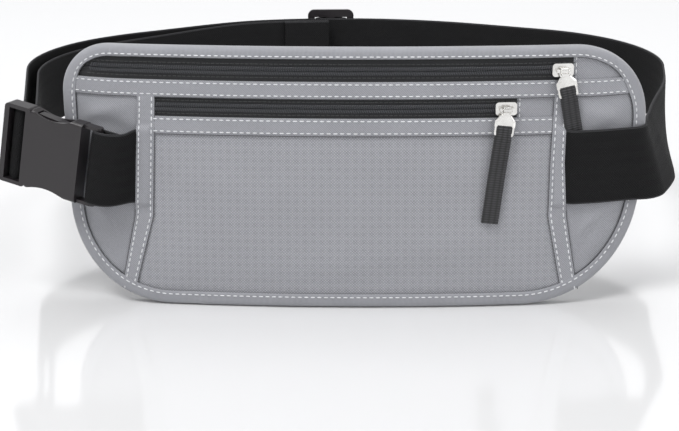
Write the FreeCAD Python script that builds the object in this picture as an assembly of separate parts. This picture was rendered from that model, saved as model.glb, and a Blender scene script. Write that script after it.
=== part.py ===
import FreeCAD
import Part
import os
from math import asin, atan2, cos, degrees, hypot, radians, sin, tan

# A waist money belt: a flat two-pocket pouch with two zips, worn on a loop of webbing that a
# side-release buckle opens and a strap adjuster sizes.
# Millimetres. +X runs to the right, +Y to the back of the loop, +Z up. The origin is the centre of the
# waist opening at the height of the strap's middle.

V = FreeCAD.Vector
UP = V(0, 0, 1)

# Driving dimensions ---------------------------------------------------------------------------------
POUCH_HEIGHT = 133.4
STRAP_HEIGHT_ON_POUCH = 72.5    # pouch's bottom edge to the strap's middle
LOOP_DEPTH = 280.0              # pouch's front to the outside of the strap at the back
WEBBING = 38.0
WEB_THICK = 1.6
FABRIC = 0.8
LINING = 0.3
GAP = 0.3                       # clearance between pieces that move past each other
BINDING = 7.0
BOW_RADIUS = 850.0              # plan radius of the pouch's middle
BOW_HALF_WIDTH = 112.0          # where the ends start to curl back
CURL_RADIUS = 90.0
STACK = 5.0                     # front face of the front panel to back face of the back panel
LOOP_RISE = 1.4                 # degrees by which the strap rises towards the back
CURL_SPAN = 32.0                # degrees that each end of the pouch goes on curling
SEWN = 0.1                      # clearance between pieces that are sewn together
COIL_SUNK = 0.1
TUCK = 5.0                      # how far a cutter or a panel runs past an edge
WIDE = (-150.0, 150.0)          # past both ends of the pouch

FRONT_Y = -LOOP_DEPTH / 2
BOTTOM_Z = -STRAP_HEIGHT_ON_POUCH
TOP_Z = BOTTOM_Z + POUCH_HEIGHT
HALF_WEB = WEBBING / 2
CUTTER_LOW, CUTTER_HIGH = FRONT_Y - 40.0, FRONT_Y + 80.0

# Pouch features: heights above the bottom edge ------------------------------------------------------
UPPER_ZIP_Z = 122.0
UPPER_BAND = (108.3, 116.7)
LOWER_ZIP_Z = 103.2
LOWER_BAND = (89.5, 98.3)
UPPER_ZIP_X = (-131.0, 108.0)
LOWER_ZIP_X = (-98.6, 80.6)
LEFT_BAND_OUTER = [(-107.0, 108.0), (-109.8, 46.6), (-116.5, 15.4), (-121.0, -5.0)]
LEFT_BAND_INNER = [(-98.3, 108.0), (-100.9, 46.6), (-109.2, 15.4), (-114.0, -5.0)]
RIGHT_BAND_INNER = [(99.1, 108.0), (98.2, 75.0), (98.2, 46.6), (104.5, 15.4), (109.0, -5.0)]
RIGHT_BAND_OUTER = [(105.4, 108.0), (105.2, 75.0), (107.2, 46.6), (112.8, 15.4), (117.5, -5.0)]

OUTLINE = [(-146.2, 133.4), (-145.9, 100.0), (-142.7, 0.0), (142.6, 0.0), (147.2, 86.0), (147.4, 133.4)]
OUTLINE_RADII = [26.0, 150.0, 52.0, 61.0, 150.0, 38.0]

# Zips -----------------------------------------------------------------------------------------------
COIL_SLIT = 0.5
COIL_EDGE = 2.2
COIL_FRONT = 1.4
SLIDER_LENGTH = 10.6
SLIDER_HALF_HEIGHT = 3.3
UPPER_SLIDER_X = 102.3
LOWER_SLIDER_X = 74.9
BRIDGE_OFFSET = 4.4             # pull's hinge line in front of the panel
ROD_RADIUS = 0.7
EYE_RADIUS = 1.5
TAB_LENGTH = 12.5
PULL_TAPE_WIDTH = 8.6
PULL_TAPE_END = -59.0
UPPER_PULL_TILT = 12.5
LOWER_PULL_TILT = -6.7

# Buckle, in its own frame: x from the joint line towards the pouch, y to the back --------------------
BUCKLE_JOINT = V(-161.8, FRONT_Y + 13.2, 80.2 - STRAP_HEIGHT_ON_POUCH)
BUCKLE_YAW = -22.5
BUCKLE_ROLL = 10.0
BUCKLE_HALF_HEIGHT = 20.8
BUCKLE_HALF_THICK = 4.6
MALE_LENGTH = 15.4
FEMALE_LENGTH = 29.6
FEMALE_END = 39.6
MALE_WINDOW = (-12.6, -3.2)
ARM_HALF_THICK = 2.4
FOLD_HALF_HEIGHT = 18.5
BAR_RADIUS = 1.8
FOLD_RADIUS = 3.0               # middle of the webbing round a bar

# Strap route in plan, from the right seam round the back to the buckle; y from the pouch's front -----
LAYER_PITCH = 6.0               # main strap to its return layer
BACK_RADIUS = 226.0
BACK_X = -6.0
CORNER_X, CORNER_Y, CORNER_RADIUS = 196.0, 222.0, 95.0
BACK_VERTEX_Y = 303.0
RIGHT_ROUTE = [(105.6, 3.0), (121.0, 5.2), (151.5, 12.2), (161.0, 46.0), (172.0, 100.0)]
RIGHT_RADII = [0.0, 40.0, 14.0, 60.0, 300.0]
LEFT_ROUTE = [(-181.0, 100.0), (-176.75, 75.0)]
LEFT_RADII = [300.0, 0.0]
LEAD_ROUTE = [(-176.75, 75.0), (-172.5, 50.0), (-168.8, 28.0)]
LEAD_RADII = [0.0, 80.0, 0.0]

# Adjuster -------------------------------------------------------------------------------------------
ADJUSTER_X = -15.0
ADJUSTER_HALF_LENGTH = 15.0
ADJUSTER_HALF_HEIGHT = 24.5
ADJUSTER_THICK = 2.5


# Plan curves ----------------------------------------------------------------------------------------
def corner(points, i, radius):
    """Tangent points and middle of the arc that rounds vertex i; radius 0 gives the vertex itself."""
    p = points[i]
    before, after = points[i - 1], points[(i + 1) % len(points)]
    u = unit(p, before)
    w = unit(p, after)
    half = 0.5 * abs(turn(u, w))
    reach = radius * tan(half)
    bisector = unit((0, 0), (u[0] + w[0], u[1] + w[1]))
    mid = radius / cos(half) - radius
    return ((p[0] + u[0] * reach, p[1] + u[1] * reach),
            (p[0] + bisector[0] * mid, p[1] + bisector[1] * mid),
            (p[0] + w[0] * reach, p[1] + w[1] * reach))


def unit(a, b):
    length = hypot(b[0] - a[0], b[1] - a[1])
    return ((b[0] - a[0]) / length, (b[1] - a[1]) / length)


def turn(u, w):
    """Signed angle by which a path turns at a vertex, from the directions to its two neighbours."""
    return atan2(-(u[0] * w[1] - u[1] * w[0]), -(u[0] * w[0] + u[1] * w[1]))


def edges_through(points, radii, place, closed=False):
    """Straight runs joined by tangent arcs; place turns a plan point into a vector."""
    stops = []
    count = len(points)
    for i in range(count):
        if closed or 0 < i < count - 1:
            stops.append(corner(points, i, radii[i]))
        else:
            stops.append((points[i], points[i], points[i]))
    edges = []
    for i in range(count):
        enter, mid, leave = [place(p) for p in stops[i]]
        if (enter - leave).Length > 1e-6:
            edges.append(Part.Arc(enter, mid, leave).toShape())
        if closed or i < count - 1:
            following = place(stops[(i + 1) % count][0])
            if (following - leave).Length > 1e-6:
                edges.append(Part.LineSegment(leave, following).toShape())
    return edges


def shifted(points, radii, distance):
    """An open route moved sideways, positive to the left of its direction, with its arcs concentric."""
    moved, new_radii = [], []
    for i, p in enumerate(points):
        into = unit(points[i - 1], p) if i else unit(p, points[1])
        out = unit(p, points[i + 1]) if i < len(points) - 1 else into
        normal = unit((0, 0), (-into[1] - out[1], into[0] + out[0]))
        stretch = distance / (normal[0] * -into[1] + normal[1] * into[0])
        moved.append((p[0] + normal[0] * stretch, p[1] + normal[1] * stretch))
        left_turn = into[0] * out[1] - into[1] * out[0]
        new_radii.append(radii[i] and (radii[i] - distance if left_turn > 0 else radii[i] + distance))
    return moved, new_radii


def band(points, radii, thickness, low, high, shift=0.0, base_y=FRONT_Y):
    """A strip of constant thickness on edge, along a plan route."""
    def place(p):
        return V(p[0], base_y + p[1], low)
    sides = []
    for side in (shift - thickness / 2, shift + thickness / 2):
        sides.append(edges_through(*shifted(points, radii, side), place))
    first, second = sides
    ends = [Part.LineSegment(a, b).toShape() for a, b in (
        (first[0].valueAt(first[0].FirstParameter), second[0].valueAt(second[0].FirstParameter)),
        (first[-1].valueAt(first[-1].LastParameter), second[-1].valueAt(second[-1].LastParameter)))]
    wire = Part.Wire(Part.__sortEdges__(first + second + ends))
    return Part.Face(wire).extrude(V(0, 0, high - low))


# Pouch layers ---------------------------------------------------------------------------------------
BOW_ANGLE = asin(BOW_HALF_WIDTH / BOW_RADIUS)
CURL_ANGLE = BOW_ANGLE + radians(CURL_SPAN)
BOW_CENTRE = V(0, FRONT_Y + BOW_RADIUS, 0)


def bow_point(offset, angle, z=0.0):
    """A point on the pouch's bowed plan curve, offset outwards to the front."""
    side = 1 if angle >= 0 else -1
    if abs(angle) <= BOW_ANGLE:
        centre, radius = BOW_CENTRE, BOW_RADIUS + offset
    else:
        reach = BOW_RADIUS - CURL_RADIUS
        centre = BOW_CENTRE + V(side * reach * sin(BOW_ANGLE), -reach * cos(BOW_ANGLE), 0)
        radius = CURL_RADIUS + offset
    return centre + V(radius * sin(angle), -radius * cos(angle), z)


def layer(back, front):
    """A full slab of the bowed pouch between two offsets from the front panel's face."""
    def curve(offset):
        stops = [-CURL_ANGLE, -BOW_ANGLE, BOW_ANGLE, CURL_ANGLE]
        return [Part.Arc(*[bow_point(offset, t, BOTTOM_Z - TUCK) for t in (a, (a + b) / 2, b)]).toShape()
                for a, b in zip(stops, stops[1:])]
    inner, outer = curve(back), curve(front)
    ends = [Part.LineSegment(inner[0].valueAt(inner[0].FirstParameter),
                             outer[0].valueAt(outer[0].FirstParameter)).toShape(),
            Part.LineSegment(inner[-1].valueAt(inner[-1].LastParameter),
                             outer[-1].valueAt(outer[-1].LastParameter)).toShape()]
    wire = Part.Wire(Part.__sortEdges__(inner + outer + ends))
    return Part.Face(wire).extrude(V(0, 0, POUCH_HEIGHT + 2 * TUCK))


def front_point(p):
    return V(p[0], CUTTER_LOW, BOTTOM_Z + p[1])


def prism(wire):
    return Part.Face(wire).extrude(V(0, CUTTER_HIGH - CUTTER_LOW, 0))


def outline(inset):
    """The pouch's outline as a cutter, drawn in from its edge."""
    edges = edges_through(OUTLINE, OUTLINE_RADII, front_point, closed=True)
    wire = Part.Wire(Part.__sortEdges__(edges))
    if inset:
        wire = wire.makeOffset2D(-inset)
        if wire.BoundBox.XLength > OUTLINE[-1][0] - OUTLINE[0][0]:
            raise ValueError("the outline grew instead of drawing in")
    return prism(wire)


def polygon(points):
    corners = [front_point(p) for p in points]
    return prism(Part.makePolygon(corners + corners[:1]))


def rectangle(x0, x1, z0, z1):
    return polygon([(x0, z0), (x1, z0), (x1, z1), (x0, z1)])


def middle(inner, outer):
    return [((a[0] + b[0]) / 2, (a[1] + b[1]) / 2) for a, b in zip(inner, outer)]


def fabric(back, front, *cutters):
    shape = layer(back, front)
    for cutter in cutters:
        shape = shape.common(cutter)
    return shape


LEFT_SEAM = middle(LEFT_BAND_INNER, LEFT_BAND_OUTER)
RIGHT_SEAM = middle(RIGHT_BAND_INNER, RIGHT_BAND_OUTER)
UPPER_SEAM = sum(UPPER_BAND) / 2
LOWER_SEAM = sum(LOWER_BAND) / 2
FULL = outline(FABRIC + SEWN)
LINED = outline(2.0)
FACE = outline(BINDING + 0.2)

# Layers: where each starts and ends, counted to the front from the front panel's face
BACK_PANEL = (-STACK, -STACK + FABRIC)
REAR_LINING = (-4.1, -4.1 + LINING)
DIVIDER = (-3.3, -2.9)
FRONT_LINING = (-1.3, -1.3 + LINING)
FACE_CLOTH = (-FABRIC, 0.0)
ZIP_TAPE = (-FABRIC, -0.2)
ZIP_COIL = (-COIL_SUNK, COIL_FRONT)
SEWN_BAND = (SEWN, SEWN + FABRIC)


def pouch_panels():
    """Everything sewn into the pouch, from the wearer's side to the front."""
    between_seams = LEFT_SEAM + RIGHT_SEAM[::-1]
    left_of_seam = [(x - SEWN, z) for x, z in LEFT_SEAM] + [
        (WIDE[0], -TUCK), (WIDE[0], UPPER_SEAM), (LEFT_SEAM[0][0], UPPER_SEAM)]
    right_of_seam = [(x + SEWN, z) for x, z in RIGHT_SEAM] + [
        (WIDE[1], -TUCK), (WIDE[1], UPPER_SEAM), (RIGHT_SEAM[0][0], UPPER_SEAM)]
    below_upper_seam = rectangle(*WIDE, 0, UPPER_SEAM)
    below_lower_seam = rectangle(*WIDE, 0, LOWER_SEAM)
    lower_band_reach = rectangle(LEFT_BAND_INNER[0][0], RIGHT_BAND_INNER[1][0], *LOWER_BAND)
    upper_patch = rectangle(UPPER_ZIP_X[1], WIDE[1], UPPER_SEAM + SEWN, POUCH_HEIGHT + TUCK)
    lower_patch = rectangle(LOWER_ZIP_X[1], RIGHT_SEAM[1][0], LOWER_SEAM + SEWN, UPPER_SEAM - SEWN)
    left_band = polygon(LEFT_BAND_OUTER + LEFT_BAND_INNER[::-1])
    right_band = polygon(RIGHT_BAND_OUTER + RIGHT_BAND_INNER[::-1])
    lower_band = fabric(*SEWN_BAND, FACE, lower_band_reach)
    cover = layer(-STACK - SEWN - FABRIC, SEWN + FABRIC).common(outline(0))
    hollow = layer(-STACK - SEWN, SEWN).common(outline(FABRIC))
    return {
        "back_panel": fabric(*BACK_PANEL, FULL),
        "rear_blocking_lining": fabric(*REAR_LINING, LINED),
        "pocket_divider": fabric(*DIVIDER, LINED, below_upper_seam),
        "front_blocking_lining": fabric(*FRONT_LINING, LINED, polygon(between_seams),
                                        rectangle(*WIDE, 0, LOWER_SEAM - 1)),
        "front_panel": fabric(*FACE_CLOTH, FULL, polygon(between_seams), below_lower_seam),
        "left_wing_panel": fabric(*FACE_CLOTH, FULL, polygon(left_of_seam)),
        "right_wing_panel": fabric(*FACE_CLOTH, FULL, polygon(right_of_seam)),
        "upper_zip_end_patch": fabric(*FACE_CLOTH, FULL, upper_patch),
        "lower_zip_end_patch": fabric(*FACE_CLOTH, FULL, lower_patch),
        "upper_band": fabric(*SEWN_BAND, FACE, rectangle(*WIDE, *UPPER_BAND)),
        "lower_band": lower_band,
        "left_side_band": fabric(*SEWN_BAND, FACE, left_band).cut(lower_band),
        "right_side_band": fabric(*SEWN_BAND, FACE, right_band).cut(lower_band),
        "edge_binding": cover.cut(hollow).cut(outline(BINDING)),
    }


def zip_rows(x_range, centre, reach_down, reach_up):
    """The two halves of a zip: tape on both sides of the slit, and a row of coil along each edge."""
    x0, x1 = x_range
    tape = [fabric(*ZIP_TAPE, FULL, rectangle(x0, x1 - SEWN, a, b)) for a, b in (
        (reach_down, centre - COIL_SLIT), (centre + COIL_SLIT, reach_up))]
    coil = [fabric(*ZIP_COIL, FACE, rectangle(x0 + 0.6, x1 - 0.5, a, b)) for a, b in (
        (centre - COIL_EDGE, centre - COIL_SLIT), (centre + COIL_SLIT, centre + COIL_EDGE))]
    return Part.makeCompound(tape), Part.makeCompound(coil)


# Sliders and pulls, in a frame on the panel's face: x along the zip, y to the back, z up --------------
def on_panel(x, z):
    """The placement of that frame at a point of the bowed front."""
    angle = asin(x / BOW_RADIUS)
    return FreeCAD.Placement(bow_point(0.0, angle, BOTTOM_Z + z),
                             FreeCAD.Rotation(UP, degrees(angle)))


def block(x, offset, z):
    """A box from three ranges; offset counts to the front."""
    return Part.makeBox(x[1] - x[0], offset[1] - offset[0], z[1] - z[0], V(x[0], -offset[1], z[0]))


def soften(shape, radius, pick):
    edges = [edge for edge in shape.Edges if pick(edge)]
    return shape.makeFillet(radius, edges) if edges else shape


def runs_along(axis):
    def test(edge):
        if len(edge.Vertexes) < 2:
            return False
        span = edge.Vertexes[0].Point - edge.Vertexes[1].Point
        return abs(abs(span.dot(axis)) - span.Length) < 1e-6 and span.Length > 1e-6
    return test


def slider_body():
    half = SLIDER_LENGTH / 2
    depth = runs_along(V(0, 1, 0))
    front = soften(block((-half, half), (1.7, 2.6), (-SLIDER_HALF_HEIGHT, SLIDER_HALF_HEIGHT)), 1.6, depth)
    back = soften(block((-half + 0.6, half - 0.4), (-1.9, -1.1), (-3.0, 3.0)), 1.2, depth)
    wedge = block((2.6, 4.6), (-1.2, 1.8), (-0.3, 0.3))
    lips = [block((-half + 1.4, half - 1.4), (0.2, 1.8), z) for z in ((-3.3, -2.6), (2.6, 3.3))]
    return front.fuse([back, wedge] + lips).removeSplitter()


def rod(radius, x0, x1):
    """A round rod along the zip on the pull's hinge line."""
    return Part.makeCylinder(radius, x1 - x0, V(x0, -BRIDGE_OFFSET, 0), V(1, 0, 0))


def slider_bridge():
    """A bail along the zip: two posts on the slider and the rod that the pull swings on."""
    posts = [block(x, (2.65, BRIDGE_OFFSET + ROD_RADIUS), (-0.8, 0.8)) for x in ((-3.5, -2.5), (2.5, 3.5))]
    return rod(ROD_RADIUS, -3.0, 3.0).fuse(posts).removeSplitter()


def leaned(shape, tilt):
    """A pull hangs a little out of plumb: turned about the line that stands out from the panel."""
    return shape.rotate(V(0, 0, 0), V(0, 1, 0), -tilt)


def pull_tab(tilt):
    """An eye rolled round the bail's rod, two legs and a cross bar that carries the tape."""
    thick = 1.1
    low = BRIDGE_OFFSET - thick / 2
    foot = -TAB_LENGTH - 0.7
    shape_points = [(-1.6, 0.0), (1.6, 0.0), (1.6, -2.4), (4.9, -6.0), (4.9, foot), (-4.9, foot),
                    (-4.9, -6.0), (-1.6, -2.4)]

    def place(p):
        return V(p[0], -low - thick, p[1])
    edges = edges_through(shape_points, [0.2, 0.2, 1.0, 2.0, 1.0, 1.0, 2.0, 1.0], place, closed=True)
    plate = Part.Face(Part.Wire(Part.__sortEdges__(edges))).extrude(V(0, thick, 0))
    window = block((-4.0, 4.0), (low - 1, low + 3), (-TAB_LENGTH + 0.5, -6.0))
    window = soften(window, 0.6, runs_along(V(0, 1, 0)))
    plate = leaned(plate.cut(window), tilt)
    return plate.fuse(rod(EYE_RADIUS, -1.9, 1.9)).cut(rod(ROD_RADIUS + GAP, -3.0, 3.0))


def pull_tape(path):
    """A doubled ribbon hanging from the tab's cross bar, drawn on its side as offset against height."""
    points = [(BRIDGE_OFFSET, -TAB_LENGTH - 0.9)] + path
    radii = [0.0] + [25.0] * (len(points) - 2) + [0.0]
    width = PULL_TAPE_WIDTH

    def place(p):
        return V(-width / 2, -p[0], p[1])
    sides = [edges_through(*shifted(points, radii, s), place) for s in (-0.6, 0.6)]
    first, second = sides
    ends = [Part.LineSegment(first[0].valueAt(first[0].FirstParameter),
                             second[0].valueAt(second[0].FirstParameter)).toShape(),
            Part.LineSegment(first[-1].valueAt(first[-1].LastParameter),
                             second[-1].valueAt(second[-1].LastParameter)).toShape()]
    wire = Part.Wire(Part.__sortEdges__(first + second + ends))
    return Part.Face(wire).extrude(V(width, 0, 0))


def zip_hardware(prefix, x, z, tilt, tape_path):
    place = on_panel(x, z)
    nodes = {
        f"{prefix}_slider_body": slider_body(),
        f"{prefix}_slider_bridge": slider_bridge(),
        f"{prefix}_pull_tab": pull_tab(tilt),
        f"{prefix}_pull_tape": leaned(pull_tape(tape_path), tilt),
    }
    for shape in nodes.values():
        shape.Placement = place.multiply(shape.Placement)
    hinge = place.multVec(V(0, -BRIDGE_OFFSET, 0))
    axis = place.Rotation.multVec(V(1, 0, 0))
    print(prefix, "pull hinge", [round(c, 4) for c in hinge], "axis", [round(c, 6) for c in axis])
    return nodes


# Buckle ---------------------------------------------------------------------------------------------
BUCKLE = FreeCAD.Placement(BUCKLE_JOINT, FreeCAD.Rotation(UP, BUCKLE_YAW).multiply(
    FreeCAD.Rotation(V(0, 1, 0), BUCKLE_ROLL)))


def slab(x0, x1, half_thick, z0, z1):
    return Part.makeBox(x1 - x0, 2 * half_thick, z1 - z0, V(x0, -half_thick, z0))


def bar(x, half_height, y=0.0, radius=BAR_RADIUS):
    return Part.makeCylinder(radius, 2 * half_height, V(x, y, -half_height))


def buckle_female():
    high, thick = BUCKLE_HALF_HEIGHT, BUCKLE_HALF_THICK
    shell = slab(0.2, FEMALE_LENGTH, thick, -high, high)
    shell = soften(shell, 2.2, runs_along(V(1, 0, 0)))
    cavity = slab(-1.0, FEMALE_LENGTH - 2.0, 2.9, -high + 2.4, high - 2.4)
    windows = [soften(slab(2.8, 22.0, 3.2, a, b), 1.5, runs_along(UP)) for a, b in (
        (high - 4.6, high + 1), (-high - 1, -high + 4.6))]
    bites = [Part.makeCylinder(26.0, 2 * thick + 2, V(12.4, -thick - 1, side * (high + 23.2)), V(0, 1, 0))
             for side in (1, -1)]
    shell = shell.cut(cavity).cut(Part.makeCompound(windows)).cut(bites[0]).cut(bites[1])
    rails = [slab(FEMALE_LENGTH - 1, FEMALE_END - 2, 2.2, a, b) for a, b in (
        (high - 1.9, high - 0.2), (-high + 0.2, -high + 1.9))]
    end_bar = bar(FEMALE_END - 2.2, high - 0.2)
    return shell.fuse(rails + [end_bar]).removeSplitter()


def buckle_male():
    high, thick = BUCKLE_HALF_HEIGHT, BUCKLE_HALF_THICK
    frame = slab(-MALE_LENGTH, -0.1, thick - 0.5, -high, high)
    frame = soften(frame, 2.0, runs_along(V(0, 1, 0)))
    frame = frame.cut(slab(MALE_WINDOW[0], MALE_WINDOW[1], thick + 1, -18.8, 18.8))
    cross_bar = bar(-8.0, 19.5, y=1.0)
    tongue = slab(-0.5, 21.0, 2.2, -4.2, 4.2)
    heels = [slab(-0.5, 1.6, 2.4, a, b) for a, b in ((4.0, 11.0), (-11.0, -4.0))]
    return frame.fuse([cross_bar, tongue] + heels).removeSplitter()


def latch_arm(side):
    """A sprung arm with a press pad that stands in the side window."""
    points = [(0.3, 11.3), (1.9, 11.3), (9.0, 11.6), (22.5, 11.0), (24.5, 13.0), (21.4, 17.8), (12.0, 18.6),
              (3.3, 19.4), (3.1, 17.4), (0.3, 16.6)]
    radii = [0.3, 0.5, 8.0, 1.2, 1.2, 2.5, 20.0, 0.5, 0.5, 0.3]

    def place(p):
        return V(p[0], -ARM_HALF_THICK, side * p[1])
    closed = edges_through(points, radii, place, closed=True)
    return Part.Face(Part.Wire(Part.__sortEdges__(closed))).extrude(V(0, 2 * ARM_HALF_THICK, 0))


def fold(x, y, leg, towards, half_height):
    """Webbing turned round a bar at x, y, with two straight legs."""
    ring = Part.makeCylinder(FOLD_RADIUS + WEB_THICK / 2, 2 * half_height, V(x, y, -half_height))
    hole = Part.makeCylinder(FOLD_RADIUS - WEB_THICK / 2, 2 * half_height, V(x, y, -half_height))
    ring = ring.cut(hole)
    reach = FOLD_RADIUS + WEB_THICK / 2
    if towards == "back":
        ring = ring.cut(Part.makeBox(2 * reach, reach, 2 * half_height, V(x - reach, y, -half_height)))
        starts = [V(x + s * FOLD_RADIUS - WEB_THICK / 2, y, -half_height) for s in (-1, 1)]
        legs = [Part.makeBox(WEB_THICK, leg, 2 * half_height, c) for c in starts]
    else:
        ring = ring.cut(Part.makeBox(reach, 2 * reach, 2 * half_height, V(x, y - reach, -half_height)))
        starts = [V(x, y + s * FOLD_RADIUS - WEB_THICK / 2, -half_height) for s in (-1, 1)]
        legs = [Part.makeBox(leg, WEB_THICK, 2 * half_height, c) for c in starts]
    return ring.fuse(legs).removeSplitter()


def buckle_nodes():
    nodes = {
        "buckle_female": buckle_female(),
        "buckle_male": buckle_male(),
        "latch_arm_upper": latch_arm(1),
        "latch_arm_lower": latch_arm(-1),
        "buckle_strap_fold": fold(-8.0, 1.0, 7.5, "back", FOLD_HALF_HEIGHT),
        "short_strap_fold": fold(FEMALE_END - 2.2, 0.0, 5.0, "right", FOLD_HALF_HEIGHT),
    }
    for shape in nodes.values():
        shape.Placement = BUCKLE
    direction = BUCKLE.Rotation.multVec(V(-1, 0, 0))
    print("buckle release axis", [round(c, 6) for c in direction])
    for side in (1, -1):
        pivot = BUCKLE.multVec(V(0.3, 0, side * 14.0))
        print("latch pivot", side, [round(c, 4) for c in pivot])
    print("latch axis", [round(c, 6) for c in BUCKLE.Rotation.multVec(V(0, 1, 0))])
    return nodes


# Straps ---------------------------------------------------------------------------------------------
def tilt_loop(shape):
    shape.rotate(V(0, FRONT_Y, 0), V(1, 0, 0), LOOP_RISE)
    return shape


def strap_nodes():
    corners = [(BACK_X + CORNER_X, CORNER_Y), (BACK_X, BACK_VERTEX_Y), (BACK_X - CORNER_X, CORNER_Y)]
    route = RIGHT_ROUTE + corners + LEFT_ROUTE
    radii = RIGHT_RADII + [CORNER_RADIUS, BACK_RADIUS, CORNER_RADIUS] + LEFT_RADII
    slope = atan2(BACK_VERTEX_Y - CORNER_Y, CORNER_X)
    centre_y = BACK_VERTEX_Y - BACK_RADIUS / cos(slope)
    start = asin((ADJUSTER_X - BACK_X) / BACK_RADIUS)
    return_end = (BACK_X + BACK_RADIUS * sin(start), centre_y + BACK_RADIUS * cos(start))
    half_turn = (start - (-slope)) / 2
    reach = BACK_RADIUS * tan(half_turn)
    along = (cos(slope), sin(slope))
    tangent_point = (BACK_X - BACK_RADIUS * sin(slope), centre_y + BACK_RADIUS * cos(slope))
    vertex = (tangent_point[0] + along[0] * reach, tangent_point[1] + along[1] * reach)
    return_route = [return_end, vertex, corners[2]] + LEFT_ROUTE
    return_radii = [0.0, BACK_RADIUS, CORNER_RADIUS] + LEFT_RADII

    nodes = {
        "long_strap": band(route, radii, WEB_THICK, -HALF_WEB, HALF_WEB),
        "strap_return": band(return_route, return_radii, WEB_THICK, -HALF_WEB, HALF_WEB, LAYER_PITCH),
        "strap_lead_outer": band(LEAD_ROUTE, LEAD_RADII, WEB_THICK, -HALF_WEB, HALF_WEB),
        "strap_lead_inner": band(LEAD_ROUTE, LEAD_RADII, WEB_THICK, -HALF_WEB, HALF_WEB, LAYER_PITCH),
    }
    centre = V(BACK_X, FRONT_Y + centre_y, 0)
    place = FreeCAD.Placement(centre + V(BACK_RADIUS * sin(start), BACK_RADIUS * cos(start), 0),
                              FreeCAD.Rotation(UP, -degrees(start)))
    for name, shape in adjuster_shapes().items():
        shape.Placement = place
        nodes[name] = shape
    for shape in nodes.values():
        tilt_loop(shape)
    axis_point = FreeCAD.Rotation(V(1, 0, 0), LOOP_RISE).multVec(centre - V(0, FRONT_Y, 0)) + V(0, FRONT_Y, 0)
    axis = FreeCAD.Rotation(V(1, 0, 0), LOOP_RISE).multVec(UP)
    print("adjuster axis point", [round(c, 4) for c in axis_point], "axis", [round(c, 6) for c in axis])
    return nodes


def adjuster_shapes():
    """Tri-glide on the outside of the strap, in a frame on the strap's middle, y outwards."""
    face = WEB_THICK / 2 + GAP
    half, high = ADJUSTER_HALF_LENGTH, ADJUSTER_HALF_HEIGHT
    plate = Part.makeBox(2 * half, ADJUSTER_THICK, 2 * high, V(-half, face, -high))
    plate = soften(plate, 4.0, runs_along(V(0, 1, 0)))
    for x0 in (-10.5, 2.5):
        plate = plate.cut(Part.makeBox(8.0, ADJUSTER_THICK + 2, 39.2, V(x0, face - 1, -19.6)))
    plate = soften(plate, 0.6, lambda e: abs(e.CenterOfMass.y - face - ADJUSTER_THICK) < 1e-6)
    crest = face + ADJUSTER_THICK + GAP + WEB_THICK / 2
    low = WEB_THICK + 2 * GAP
    hump = band([(-9.4, low), (-5.2, crest), (5.2, crest), (9.4, low)], [0, 2.0, 2.0, 0], WEB_THICK,
                -HALF_WEB, HALF_WEB, base_y=0.0)
    inner = LAYER_PITCH + WEB_THICK + 3 * GAP
    bend = 30.0 / BACK_RADIUS
    reach = BACK_RADIUS * tan(bend / 2)
    end_fold = band([(-2.0, 0), (-2.0 - reach, 0), (-2.0 - reach * (1 + cos(bend)), -reach * sin(bend))],
                    [0, BACK_RADIUS, 0], WEB_THICK, -HALF_WEB, HALF_WEB, inner, base_y=0.0)
    return {"strap_adjuster": plate, "adjuster_strap_hump": hump, "strap_end_fold": end_fold}


def short_strap():
    """From the left seam to just short of the buckle's fold, in front of the wing."""
    fold_end = BUCKLE.multVec(V(FEMALE_END + 7.4, -FOLD_RADIUS, 0))
    start = (fold_end.x, fold_end.y - FRONT_Y)
    return band([(-107.6, 4.3), start], [0, 0], WEB_THICK, -HALF_WEB, HALF_WEB)


# Write the pieces -----------------------------------------------------------------------------------
def write(nodes):
    os.makedirs("parts", exist_ok=True)
    for name, shape in nodes.items():
        if not shape.isValid() or not shape.Solids:
            raise ValueError(f"{name} is not a valid solid")
        shape.exportStep(f"parts/{name}.step")


def main():
    nodes = pouch_panels()
    nodes["upper_zip_tape"], nodes["upper_zip_coil"] = zip_rows(
        UPPER_ZIP_X, UPPER_ZIP_Z, UPPER_SEAM + SEWN, POUCH_HEIGHT)
    nodes["lower_zip_tape"], nodes["lower_zip_coil"] = zip_rows(
        LOWER_ZIP_X, LOWER_ZIP_Z, LOWER_SEAM + SEWN, UPPER_SEAM - SEWN)
    nodes.update(zip_hardware("upper", UPPER_SLIDER_X, UPPER_ZIP_Z, UPPER_PULL_TILT,
                              [(2.2, -25.5), (1.65, -31.5), (1.65, PULL_TAPE_END)]))
    nodes.update(zip_hardware("lower", LOWER_SLIDER_X, LOWER_ZIP_Z, LOWER_PULL_TILT,
                              [(2.9, -34.0), (2.6, PULL_TAPE_END)]))
    nodes.update(buckle_nodes())
    nodes.update(strap_nodes())
    nodes["short_strap"] = short_strap()
    write(nodes)
    print(len(nodes), "nodes; bow centre", [round(c, 4) for c in BOW_CENTRE])


main()
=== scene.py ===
from functools import cached_property
from math import asin, atan2, cos, pi, radians, sin, tan

import bmesh
import bpy
import numpy as np
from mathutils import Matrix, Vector


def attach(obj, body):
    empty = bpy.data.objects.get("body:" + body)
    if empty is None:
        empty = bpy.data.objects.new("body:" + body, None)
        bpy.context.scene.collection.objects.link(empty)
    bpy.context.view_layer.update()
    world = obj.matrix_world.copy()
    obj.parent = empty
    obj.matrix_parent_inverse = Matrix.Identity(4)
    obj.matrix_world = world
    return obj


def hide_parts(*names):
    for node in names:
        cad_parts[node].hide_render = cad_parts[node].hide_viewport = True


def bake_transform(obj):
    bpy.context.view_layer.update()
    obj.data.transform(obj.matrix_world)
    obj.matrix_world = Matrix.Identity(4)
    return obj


# The looks of a waist money belt: a flat two-pocket pouch on a webbing loop. Lengths are millimetres
# until a mesh is made. x runs along the pouch, z up; an offset is counted to the front of its face.

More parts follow.
